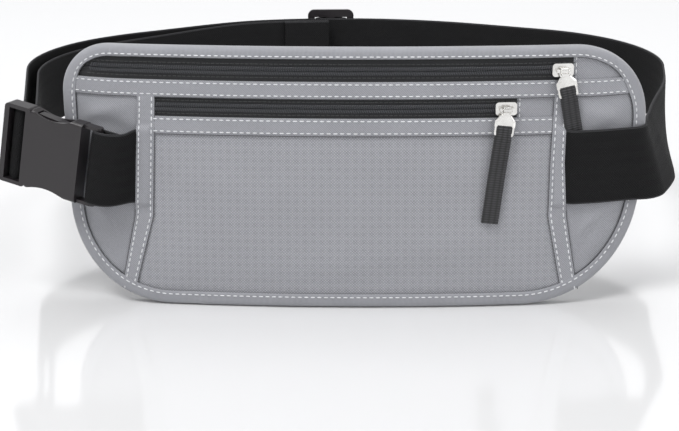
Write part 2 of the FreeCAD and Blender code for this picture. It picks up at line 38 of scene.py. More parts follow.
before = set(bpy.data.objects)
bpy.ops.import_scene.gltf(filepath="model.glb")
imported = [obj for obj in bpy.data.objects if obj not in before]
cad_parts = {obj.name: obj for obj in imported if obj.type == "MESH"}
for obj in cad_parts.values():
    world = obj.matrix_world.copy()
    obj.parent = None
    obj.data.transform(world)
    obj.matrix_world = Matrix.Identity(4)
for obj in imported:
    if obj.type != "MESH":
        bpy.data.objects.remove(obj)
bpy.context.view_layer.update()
MM = 0.001

# Shape of the pouch and its seams --------------------------------------------------------------------
BOTTOM_Z = -72.5
FRONT_Y = -140.0
POUCH_HEIGHT = 133.4
FABRIC = 0.8
STACK = 5.0
BINDING = 7.0
BOW_RADIUS = 850.0
BOW_ANGLE = asin(112.0 / BOW_RADIUS)
CURL_RADIUS = 90.0
OUTLINE = [(-146.2, 133.4), (-145.9, 100.0), (-142.7, 0.0), (142.6, 0.0), (147.2, 86.0), (147.4, 133.4)]
OUTLINE_RADII = [26.0, 150.0, 52.0, 61.0, 150.0, 38.0]
UPPER_ZIP_Z, UPPER_ZIP_X = 122.0, (-131.0, 108.0)
LOWER_ZIP_Z, LOWER_ZIP_X = 103.2, (-98.6, 80.6)
UPPER_BAND = (108.3, 116.7)
LOWER_BAND = (89.5, 98.3)
LEFT_OUTER = [(-107.0, 108.0), (-109.8, 46.6), (-116.5, 15.4), (-121.0, -5.0)]
LEFT_INNER = [(-98.3, 108.0), (-100.9, 46.6), (-109.2, 15.4), (-114.0, -5.0)]
RIGHT_INNER = [(99.1, 108.0), (98.2, 75.0), (98.2, 46.6), (104.5, 15.4), (109.0, -5.0)]
RIGHT_OUTER = [(105.4, 108.0), (105.2, 75.0), (107.2, 46.6), (112.8, 15.4), (117.5, -5.0)]
STITCH = (2.2, 0.62, 0.55)       # length, width and height of one stitch
STITCH_PITCH = 3.3
ZIP_STITCH = (2.0, 0.4, 0.3)
SHADOW_DASH = (2.3, 0.5, 0.5)   # one of the close dark dashes that paint the shadow line along a seam
TOOTH = (2.5, 0.6, 1.3)
TOOTH_PITCH = 1.15
TOOTH_ROW = 1.12                # a row of teeth above or below the middle of its zip
TOOTH_FACE = 0.62
ZIP_STITCH_ROW = 3.3            # the same for the row of stitches that holds the coil
CHECK_PITCH = 4.2               # of the front cloth
RIBBON_WIDTH = 8.6
RIB_PITCH = 1.2
HINGE_OFFSET = 4.4              # of a pull
EYE_DROP = 1.3                  # from the hinge to the middle of the pull's ring
EYE = (2.3, 0.5)                # ring at the top of a pull, to the middle of its wire, and the wire's radius

# A ribbon hangs along these offsets and heights, heights counted from its slider.
UPPER_RIBBON = [(HINGE_OFFSET, -8.0), (4.3, -14.0), (2.4, -25.0), (1.9, -31.0), (1.9, -59)]
LOWER_RIBBON = [(HINGE_OFFSET, -8.0), (4.3, -14.0), (2.9, -34.0), (2.6, -59.0)]

# Webbing ---------------------------------------------------------------------------------------------
WEBBING = 38.0
WEB_THICK = 1.7
LAYER_PITCH = 6.0
LOOP_RISE = radians(1.4)
BACK_X, BACK_Y, BACK_RADIUS = -6.0, 303.0, 226.0
LEFT_CORNER_X, RIGHT_CORNER_X, CORNER_Y = -202.0, 190.0, 222.0
ADJUSTER_X = -15.0
RIGHT_LEAN = radians(24.0)
OUTER_DROOP, INNER_DROOP = 2.5, 5.5    # how far the two layers sag at the left
LOOP_ROUTE = [(102.4, 5.5), (105.2, 5.7), (108.2, 3.3), (121.0, 5.6), (151.0, 14.6), (161.0, 46.0),
              (172.0, 100.0), (RIGHT_CORNER_X, CORNER_Y), (BACK_X, BACK_Y), (LEFT_CORNER_X, CORNER_Y),
              (-181.0, 100.0), (-176.75, 75.0)]
LOOP_RADII = [0, 4.0, 5.0, 40.0, 14.0, 60.0, 300.0, 95.0, BACK_RADIUS, 95.0, 300.0, 0]
BUCKLE_JOINT = np.array((-161.8, -126.8, 7.7))
BUCKLE_YAW, BUCKLE_ROLL = radians(-22.5), radians(10.0)
FOLD_RADIUS = 2.95


# Lines -----------------------------------------------------------------------------------------------
def unit(v):
    v = np.asarray(v, float)
    return v / np.maximum(np.linalg.norm(v, axis=-1, keepdims=True), 1e-12)


def ease(x, width=1.0):
    t = np.clip(np.asarray(x, float) / width, 0, 1)
    return t * t * (3 - 2 * t)


def rounded(points, radii, closed=False):
    """Straight runs joined by tangent arcs, as a close polyline."""
    points = [np.array(p, float) for p in points]
    line = []
    for i, p in enumerate(points):
        radius = radii[i] if closed or 0 < i < len(points) - 1 else 0
        if not radius:
            line.append(p)
            continue
        u = unit(points[i - 1] - p)
        w = unit(points[(i + 1) % len(points)] - p)
        turned = pi - np.arccos(np.clip(u @ w, -1, 1))
        start = p + u * radius * tan(turned / 2)
        out = unit(w - u * (u @ w)) * radius
        for angle in np.linspace(0, turned, max(3, int(turned / 0.05))):
            line.append(start + out * (1 - cos(angle)) - u * radius * sin(angle))
    return np.array(line)


def spaced(line, step, closed=False):
    """The same line with even steps."""
    if closed:
        line = np.vstack([line, line[:1]])
    along = np.concatenate([[0], np.cumsum(np.linalg.norm(np.diff(line, axis=0), axis=1))])
    count = max(2, int(round(along[-1] / step)))
    stops = np.linspace(0, along[-1], count + 1)
    if closed:
        stops = stops[:-1]
    return np.stack([np.interp(stops, along, line[:, k]) for k in range(line.shape[1])], axis=1)


def directions(line, closed=False):
    if closed:
        return unit(np.roll(line, -1, axis=0) - np.roll(line, 1, axis=0))
    return unit(np.gradient(line, axis=0))


def beside(line, distance, closed=False):
    """The line moved to the left of its direction, in its own plane."""
    d = directions(line, closed)
    return line + np.reshape(distance, (-1, 1)) * np.stack([-d[:, 1], d[:, 0]], axis=1)


RIM = spaced(rounded(OUTLINE, OUTLINE_RADII, closed=True), 0.9, closed=True)


def rim_x(z, inset, side):
    """How far the pouch reaches to one side at height z, drawn in by inset."""
    line = beside(RIM, inset, closed=True)
    steep = np.abs(directions(line, closed=True)[:, 1]) > 0.02
    part = line[steep & (line[:, 0] * side > 0)]
    part = part[np.argsort(part[:, 1])]
    return np.interp(z, part[:, 1], part[:, 0])


def seam_x(z, points):
    points = np.array(points[::-1])
    return np.interp(z, points[:, 1], points[:, 0])


def on_pouch(x, z, offset):
    """Places on the bowed pouch, whose ends curl back."""
    x, z, offset = [np.asarray(a, float) for a in np.broadcast_arrays(x, z, offset)]
    reach = BOW_RADIUS - CURL_RADIUS
    bowed = np.arcsin(np.clip(x / (BOW_RADIUS + offset), -1, 1))
    curled = np.arcsin(np.clip((np.abs(x) - reach * sin(BOW_ANGLE)) / (CURL_RADIUS + offset), -1, 1))
    middle = BOW_RADIUS - (BOW_RADIUS + offset) * np.cos(bowed)
    end = BOW_RADIUS - reach * cos(BOW_ANGLE) - (CURL_RADIUS + offset) * np.cos(curled)
    y = np.where(np.abs(bowed) <= BOW_ANGLE, middle, end)
    return np.stack([x, FRONT_Y + y, BOTTOM_Z + z], axis=-1)


def in_buckle(x, y, z=0.0):
    """A place in the buckle's own frame: x from its joint towards the pouch, y to the back."""
    rolled = (x * cos(BUCKLE_ROLL) + z * sin(BUCKLE_ROLL), y, -x * sin(BUCKLE_ROLL) + z * cos(BUCKLE_ROLL))
    turned = (rolled[0] * cos(BUCKLE_YAW) - rolled[1] * sin(BUCKLE_YAW),
              rolled[0] * sin(BUCKLE_YAW) + rolled[1] * cos(BUCKLE_YAW), rolled[2])
    return BUCKLE_JOINT + np.array(turned)


BUCKLE_UP = in_buckle(0, 0, 1) - BUCKLE_JOINT
LOOP_UP = np.array((0, -sin(LOOP_RISE), cos(LOOP_RISE)))


def raised(plan):
    """Plan points, y counted from the pouch's front, on the rising plane of the loop."""
    plan = np.asarray(plan, float)
    return np.stack([plan[:, 0], FRONT_Y + plan[:, 1] * cos(LOOP_RISE), plan[:, 1] * sin(LOOP_RISE)], axis=1)


# Meshes ----------------------------------------------------------------------------------------------
def piece(name, vertices, faces, uv, material, sharp=40.0):
    """One object from millimetre vertices, with a UV for every face corner in metres."""
    mesh = bpy.data.meshes.new(name)
    mesh.from_pydata((np.asarray(vertices) * MM).tolist(), [], [tuple(f) for f in faces])
    layer = mesh.uv_layers.new(name="UVMap")
    layer.data.foreach_set("uv", (np.asarray(uv) * MM).astype(np.float32).ravel())
    tidy = bmesh.new()
    tidy.from_mesh(mesh)
    bmesh.ops.recalc_face_normals(tidy, faces=tidy.faces)
    tidy.to_mesh(mesh)
    tidy.free()
    mesh.polygons.foreach_set("use_smooth", [True] * len(mesh.polygons))
    mesh.set_sharp_from_angle(angle=radians(sharp))
    mesh.materials.append(material)
    made = bpy.data.objects.new(name, mesh)
    bpy.context.scene.collection.objects.link(made)
    return made


def sweep(name, rings, uv, material, closed=False, sharp=40.0):
    """A skin over rings of points. Each ring folds over like a strip, so its ends close with quads."""
    stations, around = rings.shape[:2]
    spans = stations if closed else stations - 1
    i, j = np.meshgrid(np.arange(spans), np.arange(around), indexing="ij")
    k, following = (j + 1) % around, (i + 1) % stations
    here, there = i * around, following * around
    faces = np.stack([here + j, there + j, there + k, here + k], axis=-1)
    last = uv[0] + (uv[-1] - uv[-2]) * [1, 0] + (uv[-1] - uv[0]) * [1, 0] if closed else uv[-1]
    grid = np.concatenate([uv, last[None]])
    corners = np.stack([grid[i, j], grid[i + 1, j], grid[i + 1, k], grid[i, k]], axis=-2)
    faces, corners = faces.reshape(-1, 4), corners.reshape(-1, 4, 2)
    if not closed:
        half = np.arange(around // 2 - 1)
        cap = np.stack([half, half + 1, around - 2 - half, around - 1 - half], axis=-1)
        for station in (0, stations - 1):
            faces = np.concatenate([faces, cap + station * around])
            corners = np.concatenate([corners, uv[station][cap]])
    return piece(name, rings.reshape(-1, 3), faces.tolist(), corners.reshape(-1, 2), material, sharp)


def heights(low, high, step=2.0, crowd=1.0):
    t = np.linspace(0, 1, max(3, int((high - low) / step) + 1))
    return low + (high - low) * t ** crowd


def cloth(name, z, left, right, material, face=0.0, relief=None, thick=FABRIC, step=2.2):
    """A flat-cut piece lying on the pouch between two edges, given as functions of height."""
    lo, hi = np.broadcast_to(left(z), z.shape), np.broadcast_to(right(z), z.shape)
    columns = max(3, int(np.max(hi - lo) / step) + 1)
    x = lo[:, None] + (hi - lo)[:, None] * np.linspace(0, 1, columns)
    zz = np.broadcast_to(z[:, None], x.shape)
    lift = face + (relief(x, zz) if relief else 0.0) + np.zeros_like(x)
    front = on_pouch(x, zz, lift)
    back = on_pouch(x, zz, lift - thick)
    rings = np.concatenate([front, back[:, ::-1]], axis=1)
    uv = np.stack([x, zz], axis=-1)
    made = sweep(name, rings, np.concatenate([uv, uv[:, ::-1]], axis=1), material)
    rise, run = front[1:, :-1] - front[:-1, :-1], front[:-1, 1:] - front[:-1, :-1]
    cell = np.linalg.norm(np.cross(rise, run), axis=-1)
    made["cut_area"] = float(cell.sum()) * MM * MM
    made["cut_size"] = [float(np.max(hi) - np.min(lo)) * MM, float(z[-1] - z[0]) * MM]
    return made


def strip(name, centre, up, material, width=WEBBING, thick=WEB_THICK, columns=15, relief=None, taper=None):
    """Webbing along a line of points, standing in the direction up, with its edges thinned."""
    up = unit(np.broadcast_to(up, centre.shape))
    out = unit(np.cross(up, directions(centre)))
    along = np.concatenate([[0], np.cumsum(np.linalg.norm(np.diff(centre, axis=0), axis=1))])
    crowded = np.sin(np.linspace(-pi / 2, pi / 2, columns)) * width / 2
    v = crowded * 0.35 + np.linspace(-0.325, 0.325, columns) * width
    half = thick(along)[:, None] / 2 if callable(thick) else thick / 2
    half = half * (1 - 0.45 * np.abs(2 * v / width) ** 14)[None] + np.zeros((len(centre), columns))
    if relief:
        half = half + relief(along[:, None], v[None])
    share = taper(along) if taper else np.ones(len(centre))
    middle = centre[:, None] + up[:, None] * (share[:, None] * v[None])[..., None]
    front, back = middle + out[:, None] * half[..., None], middle - out[:, None] * half[..., None]
    uv = np.stack(np.broadcast_arrays(along[:, None], v[None]), axis=-1)
    rings = np.concatenate([front, back[:, ::-1]], axis=1)
    made = sweep(name, rings, np.concatenate([uv, uv[:, ::-1]], axis=1), material)
    made["cut_size"] = [width * MM, float(along[-1]) * MM]
    return made


def pill(segments=6, rings=4):
    """A small rounded bar of length, width and height 1, along x."""
    points, faces = [(-0.5, 0, 0)], []
    for r in range(rings):
        angle = pi * (r + 1) / (rings + 1)
        for s in range(segments):
            turn = 2 * pi * s / segments
            girth = 0.5 * sin(angle) ** 0.5
            points.append((-0.5 * cos(angle), girth * cos(turn), girth * sin(turn)))
    points.append((0.5, 0, 0))
    for s in range(segments):
        n = (s + 1) % segments
        faces.append((0, 1 + n, 1 + s))
        for r in range(rings - 1):
            a = 1 + r * segments
            faces.append((a + s, a + n, a + segments + n, a + segments + s))
        a = 1 + (rings - 1) * segments
        faces.append((a + s, a + n, len(points) - 1))
    return np.array(points), faces


PILL, PILL_FACES = pill()


def scattered(name, spots, size, material):
    """Many pills as one piece. A spot is a place, the direction of its length and its outward direction."""
    place = np.concatenate([s[0] for s in spots])
    along = unit(np.concatenate([s[1] for s in spots]))
    out = unit(np.concatenate([s[2] for s in spots]))
    across = np.cross(out, along)
    shape = PILL * np.array(size)
    points = (place[:, None] + shape[None, :, :1] * along[:, None] + shape[None, :, 1:2] * across[:, None]
              + shape[None, :, 2:] * out[:, None])
    faces = [tuple(v + n * len(PILL) for v in f) for n in range(len(place)) for f in PILL_FACES]
    flat = points.reshape(-1, 3)
    loops = np.concatenate([np.array(f) for f in faces])
    uv = flat[loops][:, [0, 2]]
    return piece(name, flat, faces, uv, material, sharp=80.0)


def sewn(line, face, pitch=STITCH_PITCH, closed=False):
    """Spots for a row of stitches along a line drawn on the pouch."""
    line = spaced(np.asarray(line, float), pitch, closed)
    lift = face(line[:, 0], line[:, 1]) if callable(face) else face
    place = on_pouch(line[:, 0], line[:, 1], lift)
    front = on_pouch(line[:, 0], line[:, 1], np.asarray(lift) + 1.0) - place
    return place, directions(place, closed), front if np.mean(lift) > -2 else -front


# Finishes --------------------------------------------------------------------------------------------
class Signal:
    """A value in a finish. Arithmetic on it adds Math nodes."""

    def __init__(self, finish, socket):
        self.finish, self.socket = finish, socket

    def maths(self, operation, *values):
        return self.finish.node("ShaderNodeMath", {"operation": operation}, dict(enumerate(values)))

    def __add__(self, other):
        return self.maths("ADD", self, other)

    def __radd__(self, other):
        return self.maths("ADD", other, self)

    def __sub__(self, other):
        return self.maths("SUBTRACT", self, other)

    def __rsub__(self, other):
        return self.maths("SUBTRACT", other, self)

    def __mul__(self, other):
        return self.maths("MULTIPLY", self, other)

    def __rmul__(self, other):
        return self.maths("MULTIPLY", other, self)

    def __pow__(self, other):
        return self.maths("POWER", self, other)

    def __gt__(self, other):
        return self.maths("GREATER_THAN", self, other)

    def wave(self, pitch):
        """From 0 to 1 and back once every pitch."""
        return self.maths("SINE", self * (2 * pi / pitch)) * 0.5 + 0.5

    def size(self):
        return self.maths("ABSOLUTE", self)


class Finish:
    """A procedural material."""

    def __init__(self, name, **constants):
        self.material = bpy.data.materials.new(name)
        self.material.use_nodes = True
        self.tree = self.material.node_tree
        self.shader = self.tree.nodes["Principled BSDF"]
        for words, value in constants.items():
            self.shader.inputs[words.replace("_", " ").title().replace("Ior", "IOR")].default_value = value

    @cached_property
    def u(self):
        """Millimetres along the piece."""
        return self.node("ShaderNodeSeparateXYZ", {}, {0: self.node("ShaderNodeUVMap")}, output=0) * (1 / MM)

    @cached_property
    def v(self):
        """Millimetres across the piece."""
        return self.node("ShaderNodeSeparateXYZ", {}, {0: self.node("ShaderNodeUVMap")}, output=1) * (1 / MM)

    def node(self, kind, settings=None, inputs=None, output=0):
        made = self.tree.nodes.new(kind)
        for key, value in (settings or {}).items():
            setattr(made, key, value)
        for key, value in (inputs or {}).items():
            if isinstance(value, Signal):
                self.tree.links.new(value.socket, made.inputs[key])
            else:
                made.inputs[key].default_value = value
        return Signal(self, made.outputs[output])

    def noise(self, scale, detail=2.0, stretch=(1.0, 1.0, 1.0)):
        """Cloudy variation from 0 to 1, scale blotches to the metre."""
        place = self.node("ShaderNodeTexCoord", output=3)
        moved = self.node("ShaderNodeVectorMath", {"operation": "MULTIPLY"}, {0: place, 1: stretch})
        return self.node("ShaderNodeTexNoise", {}, {"Vector": moved, "Scale": scale, "Detail": detail})

    def mixed(self, first, second, factor):
        inputs = {0: factor, 6: first, 7: second}
        return self.node("ShaderNodeMix", {"data_type": "RGBA"}, inputs, output=2)

    def drive(self, name, signal):
        self.tree.links.new(signal.socket, self.shader.inputs[name])

    def relief(self, height, depth):
        """Surface relief; depth in millimetres."""
        normal = self.node("ShaderNodeBump", {}, {"Height": height, "Distance": depth * MM, "Strength": 1.0})
        self.drive("Normal", normal)


def rgb(red, green, blue):
    """A colour given as it looks on a screen, 0 to 255."""
    return tuple(((c / 255 + 0.055) / 1.055) ** 2.4 for c in (red, green, blue)) + (1.0,)


def darker(colour, share):
    return tuple(c * share for c in colour[:3]) + (1.0,)


def twill(finish, pitch):
    """Diagonal ribs crossed by the finer yarns."""
    ribs = (finish.u + finish.v).wave(pitch)
    yarns = (finish.u - finish.v * 0.35).wave(pitch * 0.55)
    return ribs * 0.7 + yarns * 0.3


def grey_cloth(name, colour, pitch, checked=False):
    finish = Finish(name, roughness=0.78, sheen_weight=0.25, sheen_roughness=0.45)
    weave = twill(finish, pitch)
    clouds = finish.noise(38.0, 4.0)
    speckle = finish.noise(1300.0, 2.0)
    shade = weave * 0.5 + clouds * 0.2 + speckle * 0.3
    height = weave
    if checked:
        check = finish.u.wave(CHECK_PITCH) * finish.v.wave(CHECK_PITCH)
        dots = (finish.u + finish.v).wave(1.5) * (finish.u - finish.v).wave(1.5)
        shade = shade * 0.4 + (1 - check) * 0.1 + dots * 0.5
        height = weave * 0.4 + check * 0.2 + dots * 0.6
    finish.drive("Base Color", finish.mixed(darker(colour, 0.45), darker(colour, 1.45), shade))
    finish.drive("Roughness", 0.84 - 0.14 * weave)
    finish.relief(height, 0.16)
    return finish.material


def binding_tape(name, colour):
    """Grosgrain: close ribs across the tape."""
    finish = Finish(name, roughness=0.7, sheen_weight=0.3, sheen_roughness=0.4)
    ribs = finish.u.wave(0.62)
    yarns = finish.v.wave(0.5)
    clouds = finish.noise(45.0, 3.0)
    finish.drive("Base Color", finish.mixed(darker(colour, 0.7), darker(colour, 1.18),
                                            ribs * 0.4 + yarns * 0.15 + clouds * 0.45))
    finish.drive("Roughness", 0.8 - 0.12 * ribs)
    finish.relief(ribs * 0.8 + yarns * 0.2, 0.14)
    return finish.material


def webbing(name, colour, edge_highlight_colour):
    """Herringbone webbing; the paler band along each edge is a painted highlight."""
    finish = Finish(name, roughness=0.8, sheen_weight=0.0, specular_ior_level=0.15)
    zigzag = (finish.v.maths("PINGPONG", finish.v, 3.2) + finish.u).wave(1.3)
    yarns = finish.v.wave(0.65)
    # the outermost 0.8 mm of each side, where the edge highlight is painted, broken up by the yarns
    edge = (finish.v.size() - (WEBBING / 2 - 0.8)) > 0.0
    clouds = finish.noise(60.0, 3.0)
    tone = zigzag * 0.5 + yarns * 0.2 + clouds * 0.3
    body = finish.mixed(darker(colour, 0.55), darker(colour, 1.5), tone)
    finish.drive("Base Color", finish.mixed(body, edge_highlight_colour, edge * (0.35 + 0.4 * yarns)))
    finish.drive("Roughness", 0.82 - 0.16 * zigzag)
    finish.relief(zigzag * 0.75 + yarns * 0.25, 0.22)
    return finish.material


def zip_tape(name, colour):
    finish = Finish(name, roughness=0.7, sheen_weight=0.2)
    rows = finish.v.wave(0.85)
    knit = (finish.u + finish.v.wave(1.7) * 0.6).wave(0.7)
    pattern = rows * 0.4 + knit * 0.6
    finish.drive("Base Color", finish.mixed(darker(colour, 0.6), darker(colour, 1.5), pattern))
    finish.drive("Roughness", 0.8 - 0.15 * knit)
    finish.relief(rows * 0.5 + knit * 0.5, 0.2)
    return finish.material


def ribbed(name, colour):
    """Ribbon with raised ribs across it in three columns."""
    finish = Finish(name, roughness=0.55, sheen_weight=0.05)
    ribs = finish.u.wave(RIB_PITCH) ** 0.6
    columns = finish.v.wave(RIBBON_WIDTH / 3) ** 0.4
    weft = finish.v.wave(0.4)
    pattern = ribs * columns * (0.7 + 0.3 * weft)
    finish.drive("Base Color", finish.mixed(darker(colour, 0.25), darker(colour, 2.3), pattern))
    finish.drive("Roughness", 0.75 - 0.25 * ribs)
    finish.relief(ribs * columns * 0.8 + weft * 0.2, 0.3)
    return finish.material


def moulded(name, colour, roughness, grain):
    """Plastic or nylon with a fine grain and slightly uneven gloss."""
    finish = Finish(name, roughness=roughness, specular_ior_level=0.5)
    fine = finish.noise(grain, 3.0)
    broad = finish.noise(40.0, 3.0)
    pattern = fine * 0.5 + broad * 0.5
    finish.drive("Base Color", finish.mixed(darker(colour, 0.85), darker(colour, 1.18), pattern))
    finish.drive("Roughness", roughness - 0.06 + 0.12 * broad)
    finish.relief(fine, 0.035)
    return finish.material


def nickel(name):
    finish = Finish(name, metallic=1.0, roughness=0.2)
    wear = finish.noise(700.0, 4.0)
    broad = finish.noise(160.0, 2.0)
    finish.drive("Base Color", finish.mixed(rgb(196, 194, 190), rgb(244, 243, 240), broad))
    finish.drive("Roughness", 0.14 + 0.16 * wear)
    finish.relief(wear, 0.02)
    return finish.material


def thread(name, colour):
    finish = Finish(name, roughness=0.6, sheen_weight=0.4)
    ply = (finish.u + finish.v).wave(0.42)
    clouds = finish.noise(300.0, 2.0)
    pattern = ply * 0.6 + clouds * 0.4
    finish.drive("Base Color", finish.mixed(darker(colour, 0.75), darker(colour, 1.1), pattern))
    finish.relief(ply, 0.08)
    return finish.material


def foil(name):
    finish = Finish(name, metallic=0.55, roughness=0.4)
    crinkle = finish.noise(420.0, 5.0)
    finish.drive("Base Color", finish.mixed(rgb(128, 130, 134), rgb(186, 188, 192), crinkle))
    finish.drive("Roughness", 0.32 + 0.25 * crinkle)
    finish.relief(crinkle, 0.3)
    return finish.material


GREY = rgb(152, 153, 158)
BLACK = rgb(19, 19, 20)
RIPSTOP = grey_cloth("grey_ripstop", GREY, 1.2, checked=True)
TWILL = grey_cloth("grey_twill", rgb(144, 145, 150), 1.15)
BINDING_TAPE = binding_tape("grey_binding", rgb(146, 147, 152))
# the third colour is the painted highlight along the webbing's edges
STRAP = webbing("black_webbing", BLACK, rgb(62, 62, 64))
ZIP_TAPE = zip_tape("zip_tape", rgb(17, 18, 21))
COIL = moulded("zip_coil", rgb(74, 75, 79), 0.22, 1500.0)
RIBBON = ribbed("pull_ribbon", rgb(34, 34, 36))
PLASTIC = moulded("buckle_plastic", rgb(34, 31, 33), 0.3, 2200.0)
NICKEL = nickel("bright_nickel")
FOIL = foil("foil_lining")
GREY_THREAD = thread("grey_thread", rgb(226, 227, 230))
BLACK_THREAD = thread("black_thread", rgb(30, 30, 32))
# dark dashes that paint the shadow along the seams
SEAM_SHADOW = thread("seam_shadow", rgb(70, 71, 76))


# Pouch -----------------------------------------------------------------------------------------------
def middle(first, second):
    return [((a[0] + b[0]) / 2, (a[1] + b[1]) / 2) for a, b in zip(first, second)]


LEFT_SEAM, RIGHT_SEAM = middle(LEFT_INNER, LEFT_OUTER), middle(RIGHT_INNER, RIGHT_OUTER)
UPPER_SEAM, LOWER_SEAM = sum(UPPER_BAND) / 2, sum(LOWER_BAND) / 2
CUT_IN = 0.9                    # panels stop this far inside the outline, within the binding
BAND_FACE = 0.95
NARROWEST_SHEET = 0.01          # metres; declare_cloth returns early for narrower tapes and bands
BINDING_FACE = 1.6


def crease(x, z, x0, z0, lean, length, width, depth):
    """A soft fold about a line through x0, z0."""
    along = (x - x0) * cos(lean) + (z - z0) * sin(lean)
    across = (z - z0) * cos(lean) - (x - x0) * sin(lean)
    return depth * np.exp(-(across / width) ** 2 - (along / length) ** 2)


FRONT_CREASES = [(-60, 62, -0.25, 45, 8, 0.6), (30, 30, 0.18, 60, 9, 0.7), (-20, 12, 0.05, 70, 6, -0.45),
                 (70, 66, 0.5, 30, 7, -0.3), (-80, 30, 1.1, 26, 7, 0.5), (80, 22, -0.9, 24, 6, 0.5)]
WING_CREASES = [(-126, 100, 0.45, 17, 4, 1.7), (-118, 92, -0.3, 14, 3, -0.9), (-122, 42, -0.75, 20, 4, 1.4),
                (-128, 28, -0.4, 18, 3.5, -0.9), (118, 101, -0.4, 16, 4, 1.4), (128, 92, 0.5, 12, 3, -0.8),
                (120, 44, 0.7, 20, 4, 1.5), (128, 56, 1.3, 20, 3.5, -0.8), (116, 24, 0.9, 16, 4, 0.9)]


def fullness(creases, left, right, low, high, height):
    """Cloth that stands a little proud between its seams, with soft folds."""
    def lift(x, z):
        room = np.minimum(np.minimum(x - left(z), right(z) - x), np.minimum(z - low, high - z))
        folds = sum(crease(x, z, *c) for c in creases)
        return ease(room - 3.0, 13.0) * (height + folds)
    return lift


def first_clear(left, right, low, high):
    z = np.linspace(low, high, 400)
    return float(z[np.argmax(right(z) - left(z) > 0.3)])


def dress(made, nodes, body="pouch", declare=True):
    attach(made, body)
    if nodes:
        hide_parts(*nodes)
    if declare:
        declare_cloth(made)
    return made


def declare_cloth(made):
    width, length = made["cut_size"]
    if min(width, length) < NARROWEST_SHEET:
        return
    area = made.get("cut_area")
    area if area and 0.3 * width * length <= area <= width * length else None


def panels():
    def edge(side, inset=CUT_IN):
        return lambda z: rim_x(z, inset, side)

    def seam(points, shift=0.0):
        return lambda z: seam_x(z, points) + shift

    def level(x):
        return lambda z: np.full(np.shape(z), float(x))

    def inner(first, second, pick):
        return lambda z: pick(first(z), second(z))

    left_of_front = inner(edge(-1), seam(LEFT_SEAM), np.maximum)
    right_of_front = inner(edge(1), seam(RIGHT_SEAM), np.minimum)
    full = fullness(FRONT_CREASES, left_of_front, right_of_front, 0, LOWER_SEAM, 0.5)
    dress(cloth("front_panel_cloth", heights(CUT_IN, LOWER_SEAM, 1.6, 1.4), left_of_front, right_of_front,
                RIPSTOP, relief=full), ["front_panel"])
    for name, first, second, low_side in (("left_wing", edge(-1), seam(LEFT_SEAM, -0.1), -1),
                                          ("right_wing", seam(RIGHT_SEAM, 0.1), edge(1), 1)):
        low = first_clear(first, second, CUT_IN, 60)
        full = fullness(WING_CREASES, first, second, 0, UPPER_SEAM, 0.6)
        dress(cloth(f"{name}_cloth", heights(low, UPPER_SEAM, 1.6, 1.2), first, second, TWILL, relief=full,
                    step=1.6), [f"{name}_panel"])
    dress(cloth("upper_patch_cloth", heights(UPPER_SEAM, POUCH_HEIGHT - CUT_IN, 1.2), level(UPPER_ZIP_X[1]),
                edge(1), TWILL), ["upper_zip_end_patch"])
    dress(cloth("lower_patch_cloth", heights(LOWER_SEAM, UPPER_SEAM, 1.2), level(LOWER_ZIP_X[1]),
                seam(RIGHT_SEAM), TWILL), ["lower_zip_end_patch"])
    whole = heights(CUT_IN, POUCH_HEIGHT - CUT_IN, 1.6)
    back_full = fullness([(-50, 80, 0.1, 70, 12, -0.5), (60, 50, -0.2, 60, 12, -0.5)], edge(-1), edge(1), 0,
                         POUCH_HEIGHT, -0.7)
    dress(cloth("back_panel_cloth", whole, edge(-1), edge(1), TWILL, face=-STACK + FABRIC, relief=back_full),
          ["back_panel"])
    lined = heights(2.0, POUCH_HEIGHT - 2.0, 2.4)
    dress(cloth("rear_lining", lined, edge(-1, 2.0), edge(1, 2.0), FOIL, face=-3.7, thick=0.3),
          ["rear_blocking_lining"])
    dress(cloth("divider_cloth", heights(2.0, UPPER_SEAM, 2.4), edge(-1, 2.0), edge(1, 2.0), TWILL, face=-2.9,
                thick=0.4), ["pocket_divider"])
    lining_left = inner(edge(-1, 2.0), seam(LEFT_SEAM), np.maximum)
    lining_right = inner(edge(1, 2.0), seam(RIGHT_SEAM), np.minimum)
    dress(cloth("front_lining", heights(2.0, LOWER_SEAM - 1, 2.0, 1.3), lining_left, lining_right, FOIL,
                face=-1.0, thick=0.3), ["front_blocking_lining"])
    for name, low, high, span, slot_z in (
            ("upper", UPPER_SEAM, POUCH_HEIGHT - 1.5, (-141.0, UPPER_ZIP_X[1]), UPPER_ZIP_Z),
            ("lower", LOWER_SEAM, UPPER_SEAM, (LOWER_ZIP_X[0] - 4, LOWER_ZIP_X[1]), LOWER_ZIP_Z)):
        sides = inner(level(span[0]), edge(-1, 1.5), np.maximum), level(span[1])
        zip_face(name, low, high, sides, slot_z)
    bands(edge)


def zip_face(name, low, high, sides, slot_z):
    """Both tapes of a zip, with a raised ridge by the coil where it is sewn down."""
    def ridge(x, z):
        return 0.28 * np.exp(-((np.abs(z - slot_z) - ZIP_STITCH_ROW) / 0.5) ** 2)
    tapes = []
    for part, z0, z1 in (("lower_tape", low, slot_z - 0.25), ("upper_tape", slot_z + 0.25, high)):
        made = cloth(f"{name}_zip_{part}", heights(z0, z1, 0.45), *sides, ZIP_TAPE, face=-0.1, relief=ridge,
                     thick=0.6, step=3.0)
        tapes.append(made)
    for made in tapes:
        dress(made, [f"{name}_zip_tape"])


def tape_rise(x, z):
    """The side bands lie over the ends of the strap."""
    return 1.75 * ease(WEBBING / 2 + 2.6 - np.abs(z + BOTTOM_Z), 3.0)


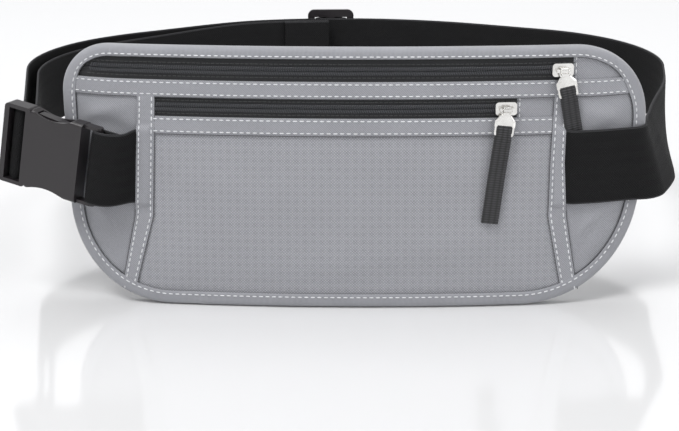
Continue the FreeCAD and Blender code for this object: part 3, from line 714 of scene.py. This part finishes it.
def bands(edge):
    def plump(low, high):
        def lift(x, z):
            t = np.clip((z - low) / (high - low), 0, 1)
            return 0.22 * np.sin(pi * t) ** 0.4 + 0.07 * np.sin(x * 2 * pi / STITCH_PITCH)
        return lift

    upper = cloth("upper_band_cloth", heights(*UPPER_BAND, 0.7), edge(-1, 6.0), edge(1, 6.0), TWILL,
                  face=BAND_FACE - 0.15, relief=plump(*UPPER_BAND), thick=0.6, step=0.95)
    dress(upper, ["upper_band"])
    lower = cloth("lower_band_cloth", heights(*LOWER_BAND, 0.7), lambda z: seam_x(z, LEFT_INNER) - 1.5,
                  lambda z: seam_x(z, RIGHT_INNER) + 1.5, TWILL, face=BAND_FACE - 0.25,
                  relief=plump(*LOWER_BAND), thick=0.6, step=0.95)
    dress(lower, ["lower_band"])
    def reach(points):
        return lambda z: np.clip(seam_x(z, points), rim_x(z, 6.0, -1), rim_x(z, 6.0, 1))

    for name, left_edge, right_edge, side in (("left", LEFT_OUTER, LEFT_INNER, -1),
                                              ("right", RIGHT_INNER, RIGHT_OUTER, 1)):
        first, second = reach(left_edge), reach(right_edge)

        def lift(x, z, first=first, second=second, side=side):
            t = np.clip((x - first(z)) / np.maximum(second(z) - first(z), 0.1), 0, 1)
            away = t if side < 0 else 1 - t
            return (0.25 * np.sin(pi * t) ** 0.4 + tape_rise(x, z) * (1 - ease(away - 0.62, 0.34))
                    + 0.07 * np.sin(z * 2 * pi / STITCH_PITCH))
        low = first_clear(first, second, 6.0, 40)
        made = cloth(f"{name}_band_cloth", heights(low, UPPER_BAND[0] + 1.0, 0.95), first, second, TWILL,
                     face=BAND_FACE, relief=lift, thick=0.6, step=0.6)
        dress(made, [f"{name}_side_band"])


BINDING_SECTION = [  # inset from the outline, and offset
    (BINDING, 1.0), (BINDING + 0.15, 1.25), (BINDING - 0.1, 1.5), (5.9, BINDING_FACE), (4.4, 1.62),
    (2.6, 1.5), (1.2, 1.1), (0.35, 0.3), (0.0, -0.9), (-0.1, -2.6), (0.0, -4.3), (0.35, -5.3), (1.2, -6.0),
    (2.6, -6.35), (4.4, -6.45), (5.9, -6.4), (BINDING - 0.1, -6.3), (BINDING + 0.15, -6.05), (BINDING, -5.8),
    (5.6, -5.6), (3.0, -5.5), (1.5, -5.1), (0.9, -4.2), (0.8, -2.6), (0.9, -1.0), (1.5, -0.1), (3.0, 0.7),
    (5.6, 0.9)]
BINDING_STITCH_INSET = 5.5


def binding_share(z):
    """The binding laps less cloth along the top edge."""
    return 1 - 0.26 * ease(z - 112.0, 16.0)


def edge_binding():
    along = np.arange(len(RIM)) * 0.9
    rings, uv = [], []
    reach = 0.0
    for k, (inset, offset) in enumerate(BINDING_SECTION):
        line = beside(RIM, inset * binding_share(RIM[:, 1]), closed=True)
        pucker = 0.09 * np.cos(2 * pi * along / STITCH_PITCH) * ease(inset - 2.0, 3.0)
        slack = 0.12 * np.sin(along / 17.0) * np.sin(along / 7.3) * ease(inset, 3.0)
        lift = offset + np.sign(offset + 2.5) * (pucker + slack)
        rings.append(on_pouch(line[:, 0], line[:, 1], lift))
        if k:
            reach += float(np.hypot(inset - BINDING_SECTION[k - 1][0], offset - BINDING_SECTION[k - 1][1]))
        uv.append(np.stack([along, np.full(len(along), reach)], axis=1))
    skin, uv = np.stack(rings, axis=1), np.stack(uv, axis=1)
    made = sweep("edge_binding_tape", skin, uv, BINDING_TAPE, closed=True)
    made["cut_size"] = [reach / 2 * MM, float(along[-1]) * MM]
    dress(made, ["edge_binding"])


def flat_line(z, x0, x1):
    return [(x0, z), (x1, z)]


def pouch_stitches():
    """Every visible row of thread on the pouch, and then the painted seam shadows."""
    front = beside(RIM, BINDING_STITCH_INSET * binding_share(RIM[:, 1]), closed=True)
    rows = {"binding_stitches": [sewn(front, BINDING_FACE + 0.08, closed=True),
                                 sewn(front, -6.5, closed=True)]}
    left, right = (rim_x(np.array([UPPER_SEAM]), 7.6, side)[0] for side in (-1, 1))
    margin = 1.3
    rows["upper_band_stitches"] = [sewn(flat_line(z, left, right), BAND_FACE + 0.1)
                                   for z in (UPPER_BAND[0] + margin, UPPER_BAND[1] - margin)]
    rows["lower_band_stitches"] = [sewn(flat_line(z, LEFT_INNER[0][0], RIGHT_INNER[1][0] - 1), BAND_FACE)
                                   for z in (LOWER_BAND[0] + margin, LOWER_BAND[1] - margin)]
    rows["patch_stitches"] = [
        sewn([(UPPER_ZIP_X[1] + margin, UPPER_BAND[1] + 0.6), (UPPER_ZIP_X[1] + margin, 127.4)], 0.15),
        sewn([(LOWER_ZIP_X[1] + margin, LOWER_BAND[1] + 0.6),
              (LOWER_ZIP_X[1] + margin, UPPER_BAND[0] - 0.6)], 0.15)]
    z = np.linspace(8.5, 107.0, 60)
    for name, points, inward in (("left_outer", LEFT_OUTER, 1), ("left_inner", LEFT_INNER, -1),
                                 ("right_inner", RIGHT_INNER, 1), ("right_outer", RIGHT_OUTER, -1)):
        raised_share = {"left_inner": 0.3, "right_inner": 0.56}.get(name, 1.0)

        def lift(x, z, share=raised_share):
            return BAND_FACE + 0.25 + share * tape_rise(x, z)
        line = np.stack([seam_x(z, points) + inward * margin, z], axis=1)
        pitch = 2.9 if name == "left_outer" else STITCH_PITCH
        rows.setdefault("side_band_stitches", []).append(sewn(line, lift, pitch))
    for name, spots in rows.items():
        dress(scattered(name, spots, STITCH, GREY_THREAD), [], declare=False)
    painted_seam_shadows(z)


def painted_seam_shadows(z):
    """Painted shadow: close dark dashes where a folded edge meets the cloth under it, standing for the shade
    in that gap.
    """
    left, right = (rim_x(np.array([UPPER_BAND[0]]), BINDING, side)[0] for side in (-1, 1))
    lines = [flat_line(UPPER_BAND[0] - 0.2, left, right),
             flat_line(LOWER_BAND[0] - 0.2, LEFT_INNER[0][0] - 1, RIGHT_INNER[1][0])]
    for points, away in ((LEFT_OUTER, -0.2), (LEFT_INNER, 0.2), (RIGHT_INNER, -0.2), (RIGHT_OUTER, 0.2)):
        low = z[z < (50.0 if points in (LEFT_OUTER, RIGHT_OUTER) else 107.0)]
        lines.append(np.stack([seam_x(low, points) + away, low], axis=1))
    inner = beside(RIM, (BINDING + 0.35) * binding_share(RIM[:, 1]), closed=True)
    wings = (np.abs(inner[:, 0]) > 110) & (inner[:, 1] > 6)
    for side in (-1, 1):
        part = inner[wings & (inner[:, 0] * side > 0)]
        lines.append(part[np.argsort(part[:, 1])])
    spots = [sewn(line, 0.75, 1.9) for line in lines]
    made = scattered("seam_shadow_lines", spots, SHADOW_DASH, SEAM_SHADOW)
    dress(made, [], declare=False)


def coils():
    """Two rows of coil to each zip, meshed in the middle."""
    for name, z, (x0, x1) in (("upper", UPPER_ZIP_Z, UPPER_ZIP_X), ("lower", LOWER_ZIP_Z, LOWER_ZIP_X)):
        spots = []
        for side in (-1, 1):
            x = np.arange(x0 + 0.8, x1 - 0.8, TOOTH_PITCH) + (side > 0) * TOOTH_PITCH / 2
            place = on_pouch(x, z + side * TOOTH_ROW, TOOTH_FACE)
            out = on_pouch(x, z + side * TOOTH_ROW, TOOTH_FACE + 1.0) - place
            spots.append((place, np.broadcast_to((0.5 * side, 0, 1.0), place.shape), out))
        made = scattered(f"{name}_coil_teeth", spots, TOOTH, COIL)
        dress(made, [f"{name}_zip_coil"], declare=False)
        thread_rows = [sewn(flat_line(z + side * ZIP_STITCH_ROW, x0, x1), 0.2, 2.4) for side in (-1, 1)]
        made = scattered(f"{name}_zip_stitches", thread_rows, ZIP_STITCH, BLACK_THREAD)
        dress(made, [], declare=False)


# Pull ribbons ----------------------------------------------------------------------------------------
def pull_ribbon(name, x, z, tilt, path, body, tucked=None):
    """A doubled ribbed ribbon from the tab's plate down the front of the pouch, with the tab's own metal."""
    centre = spaced(rounded([(0.0, o, h) for o, h in path], [0] + [22.0] * (len(path) - 2) + [0]), 0.28)
    lean = radians(tilt)
    out_x, out_z = -centre[:, 2] * sin(lean), centre[:, 2] * cos(lean)
    angle = asin(x / BOW_RADIUS)
    base = on_pouch(x, z, 0.0)
    right, out = np.array((cos(angle), sin(angle), 0)), np.array((sin(angle), -cos(angle), 0))
    line = base + out_x[:, None] * right + centre[:, 1:2] * out + out_z[:, None] * np.array((0, 0, 1.0))
    across = right * cos(lean) + np.array((0, 0, 1.0)) * sin(lean)

    def ribs(along, v):
        columns = np.abs(np.cos(v * pi * 3 / RIBBON_WIDTH)) ** 0.35
        depth = 0.3 - 0.12 * ease(along - 18.0, 6.0)
        return depth * np.abs(np.sin(along * pi / RIB_PITCH)) ** 0.7 * columns * ease(along - 0.6, 0.8)

    def thick(along):
        return 2.0 - 1.1 * ease(along - 5.0, 6.0)

    def taper(along):
        return 0.9 + 0.1 * ease(along - 4.6, 2.0)
    made = strip(f"{name}_ribbon", line, across, RIBBON, width=RIBBON_WIDTH, thick=thick, columns=19,
                 relief=ribs, taper=taper)
    if tucked:
        start, end = line[int(len(line) * tucked[0])], line[int(len(line) * tucked[1])]
        start * MM
        end * MM
        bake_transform(made)
    else:
        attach(made, body)
    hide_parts(f"{name}_pull_tape")
    down = right * sin(lean) - np.array((0, 0, 1.0)) * cos(lean)
    metal_tab(name, base + out * HINGE_OFFSET, across, down, out, body)


def metal_tab(name, hinge, across, down, out, body):
    """The plate that the ribbon hangs from, and the ring at its top."""
    drop = np.arange(2.9, 8.7, 0.3)
    plate = strip(f"{name}_tab_plate", hinge + drop[:, None] * down, across, NICKEL, width=10.4, thick=1.5,
                  columns=11, taper=lambda along: np.interp(along, [0, 2.9, 5.5], [0.55, 0.98, 1.0]))
    radius, wire = EYE
    turn = np.linspace(0, 2 * pi, 40, endpoint=False)[:, None, None]
    tube = np.linspace(0, 2 * pi, 10, endpoint=False)[None, :, None]
    spoke = np.cos(turn) * across + np.sin(turn) * down
    ring = spoke * (radius + wire * np.cos(tube)) + wire * np.sin(tube) * out
    uv = np.stack(np.broadcast_arrays(turn[..., 0] * radius, tube[..., 0] * wire), axis=-1)
    eye = sweep(f"{name}_tab_eye", hinge + EYE_DROP * down + ring, uv, NICKEL, closed=True)
    for made in (plate, eye):
        dress(made, [], body, declare=False)


# Straps ----------------------------------------------------------------------------------------------
def near_buckle(points):
    """1 on the buckle, falling to 0 a little way along the webbing."""
    a, b = in_buckle(-10, 0), in_buckle(43, 0)
    t = np.clip((points - a) @ (b - a) / ((b - a) @ (b - a)), 0, 1)
    gap = np.linalg.norm(points - (a + t[:, None] * (b - a)), axis=1)
    return 1 - ease(gap - 5.0, 18.0)


def standing(points, base):
    w = near_buckle(points)[:, None]
    return unit(base * (1 - w) + BUCKLE_UP * w)


def drooped(points, depth):
    """The loop sags towards the left, where the buckle's weight hangs."""
    lower = points.copy()
    lower[:, 2] -= depth * ease(-points[:, 0] - 60.0, 100.0)
    return lower


def straps():
    plan = spaced(rounded(LOOP_ROUTE, LOOP_RADII), 2.0)
    loop = raised(plan)
    lean = RIGHT_LEAN * ease(plan[:, 0] - 140.0, 20.0) * (1 - ease(plan[:, 1] - 40.0, 90.0))
    d = directions(plan)
    outward = np.stack([d[:, 1], -d[:, 0], np.zeros(len(d))], axis=1)
    up = LOOP_UP * np.cos(lean)[:, None] - outward * np.sin(lean)[:, None]
    loop = drooped(loop, OUTER_DROOP)
    made = strip("loop_webbing", loop, up, STRAP)
    dress(made, ["long_strap"], declare=False)

    behind = (plan[:, 1] > 200) & (plan[:, 0] < ADJUSTER_X)
    first = int(np.argmax(behind))
    inside = drooped(raised(beside(plan, LAYER_PITCH)[first:]), INNER_DROOP)
    made = strip("returned_webbing", inside, LOOP_UP, STRAP)
    tuple(raised([(-150, 250)])[0] * MM)
    tuple(raised([(-40, 292)])[0] * MM)
    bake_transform(made)
    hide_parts("strap_return")

    fold_line = raised(beside(plan, LAYER_PITCH + 2.5)[first:first + 16])
    made = strip("turned_end_webbing", fold_line, LOOP_UP, STRAP)
    dress(made, ["strap_end_fold"], "adjuster", declare=False)

    hump()
    buckle_lead(loop[-1])
    short_webbing()


def hump():
    """The strap rides up over the adjuster's middle bar."""
    slope = atan2(BACK_Y - CORNER_Y, (RIGHT_CORNER_X - LEFT_CORNER_X) / 2)
    centre_y = BACK_Y - BACK_RADIUS / cos(slope)
    start = asin((ADJUSTER_X - BACK_X) / BACK_RADIUS)
    low, crest = 2.2, 4.8
    local = spaced(rounded([(-9.6, low), (-5.2, crest), (5.2, crest), (9.6, low)], [0, 2.2, 2.2, 0]), 0.5)
    radius = BACK_RADIUS + local[:, 1]
    turn = start + local[:, 0] / BACK_RADIUS
    plan = np.stack([BACK_X + radius * np.sin(turn), centre_y + radius * np.cos(turn)], axis=1)
    made = strip("adjuster_loop_webbing", raised(plan), LOOP_UP, STRAP)
    dress(made, ["adjuster_strap_hump"], "adjuster", declare=False)


def buckle_lead(join):
    """Webbing from the loop round the male half's bar and back on itself."""
    def lift(plan, rise):
        return raised([plan])[0] + (0, 0, rise)
    points = [join, lift((-172.5, 50.0), -1.0), in_buckle(-11, 12.0), in_buckle(-11, 1 - FOLD_RADIUS),
              in_buckle(-5, 1 - FOLD_RADIUS), in_buckle(-5, 12.0), lift((-166.6, 51.0), -4.0),
              lift((-170.9, 76.2), -INNER_DROOP)]
    line = spaced(rounded(points, [0, 80, 26, FOLD_RADIUS, FOLD_RADIUS, 26, 80, 0]), 0.9)
    made = strip("buckle_lead_webbing", line, standing(line, LOOP_UP), STRAP, width=36.9)
    start, end = lift((-176, 72), 0), in_buckle(-8, 11)
    tuple(start * MM)
    tuple(end * MM)
    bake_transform(made)
    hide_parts("strap_lead_outer", "strap_lead_inner", "buckle_strap_fold")


def short_webbing():
    bar = 37.4
    points = [on_pouch(-103.6, 72.5, 0.75), on_pouch(-107.4, 72.5, 0.75), (-110.6, FRONT_Y + 4.2, 0),
              in_buckle(47, -3.2), in_buckle(bar - FOLD_RADIUS, -FOLD_RADIUS),
              in_buckle(bar - FOLD_RADIUS, FOLD_RADIUS), in_buckle(46.5, FOLD_RADIUS)]
    line = spaced(rounded(points, [0, 4, 8, 12, FOLD_RADIUS, FOLD_RADIUS, 0]), 0.9)
    made = strip("short_webbing", line, standing(line, np.array((0, 0, 1.0))), STRAP)
    dress(made, ["short_strap", "short_strap_fold"], declare=False)


# Hard parts ------------------------------------------------------------------------------------------
def hard_parts():
    """The moulded and cast parts keep their own shapes, with their edges eased."""
    easing = {"buckle_female": 0.7, "buckle_male": 0.6, "latch_arm_upper": 0.4, "latch_arm_lower": 0.4,
              "strap_adjuster": 0.3}
    for name, width in easing.items():
        finish_part(name, PLASTIC, width)
    for zip_name in ("upper", "lower"):
        for part, width in (("slider_body", 0.3), ("slider_bridge", 0.12), ("pull_tab", 0.22)):
            finish_part(f"{zip_name}_{part}", NICKEL, width)


def finish_part(name, material, width):
    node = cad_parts[name]
    node.data.materials.clear()
    node.data.materials.append(material)
    ease_edges = node.modifiers.new("eased_edges", "BEVEL")
    ease_edges.width = width * MM
    ease_edges.segments = 2
    ease_edges.limit_method = "ANGLE"
    ease_edges.angle_limit = radians(35)
    ease_edges.harden_normals = False


# Studio ----------------------------------------------------------------------------------------------
HORIZON, ZENITH = 1.11, 0.36    # brightness of the surroundings, low down and overhead
LAMPS = [  # name, place, power in watts and side; lengths in metres
    ("key", (-0.7, -1.0, 1.9), 36.0, 0.9),
    ("fill", (1.3, -1.2, 0.8), 8.0, 1.2),
    ("top", (0.1, 0.3, 1.8), 17.0, 1.6)]


def studio():
    finish = Finish("pale_floor", roughness=0.09, ior=1.9, specular_ior_level=0.75)
    patches = finish.noise(2.0)
    finish.drive("Base Color", finish.mixed((0.72, 0.72, 0.725, 1), (0.74, 0.74, 0.745, 1), patches))
    far = 4000
    corners = [(-far, -far), (far, -far), (far, far), (-far, far)]
    level = [(x, y, BOTTOM_Z - 0.4) for x, y in corners]
    floor = piece("floor", level, [(0, 1, 2, 3)], corners, finish.material)
    world = bpy.data.worlds.new("studio")
    bpy.context.scene.world = world
    world.use_nodes = True
    sky = world.node_tree.nodes["Background"]
    height = world.node_tree.nodes.new("ShaderNodeSeparateXYZ")
    place = world.node_tree.nodes.new("ShaderNodeTexCoord")
    fade = world.node_tree.nodes.new("ShaderNodeMapRange")
    world.node_tree.links.new(place.outputs["Generated"], height.inputs[0])
    world.node_tree.links.new(height.outputs["Z"], fade.inputs["Value"])
    for socket, value in zip(list(fade.inputs)[1:5], (0.18, 0.6, HORIZON, ZENITH)):
        socket.default_value = value
    world.node_tree.links.new(fade.outputs[0], sky.inputs["Strength"])
    sky.inputs["Color"].default_value = (0.98, 0.985, 1.0, 1)
    for name, place, energy, size in LAMPS:
        light = bpy.data.lights.new(name, "AREA")
        light.energy, light.size = energy, size
        lamp = bpy.data.objects.new(name, light)
        lamp.location = place
        lamp.rotation_euler = (-Vector(place)).to_track_quat("-Z", "Y").to_euler()
        bpy.context.scene.collection.objects.link(lamp)
    camera = bpy.data.objects.new("camera", bpy.data.cameras.new("camera"))
    camera.data.lens = 86.5
    camera.data.sensor_width = 36.0
    camera.location = (0, -0.9218, 0.2121)
    tilt, yaw = radians(90 - 16.8), radians(0.5)
    camera.rotation_euler = (tilt, 0, yaw)
    bpy.context.scene.collection.objects.link(camera)
    bpy.context.scene.camera = camera
    bpy.context.scene.view_settings.view_transform = "Standard"


studio()
panels()
edge_binding()
pouch_stitches()
coils()
pull_ribbon("upper", 102.3, UPPER_ZIP_Z, 12.5, UPPER_RIBBON, "upper_pull", tucked=(0.44, 0.13))
pull_ribbon("lower", 74.9, LOWER_ZIP_Z, -6.7, LOWER_RIBBON, "lower_pull")
straps()
hard_parts()
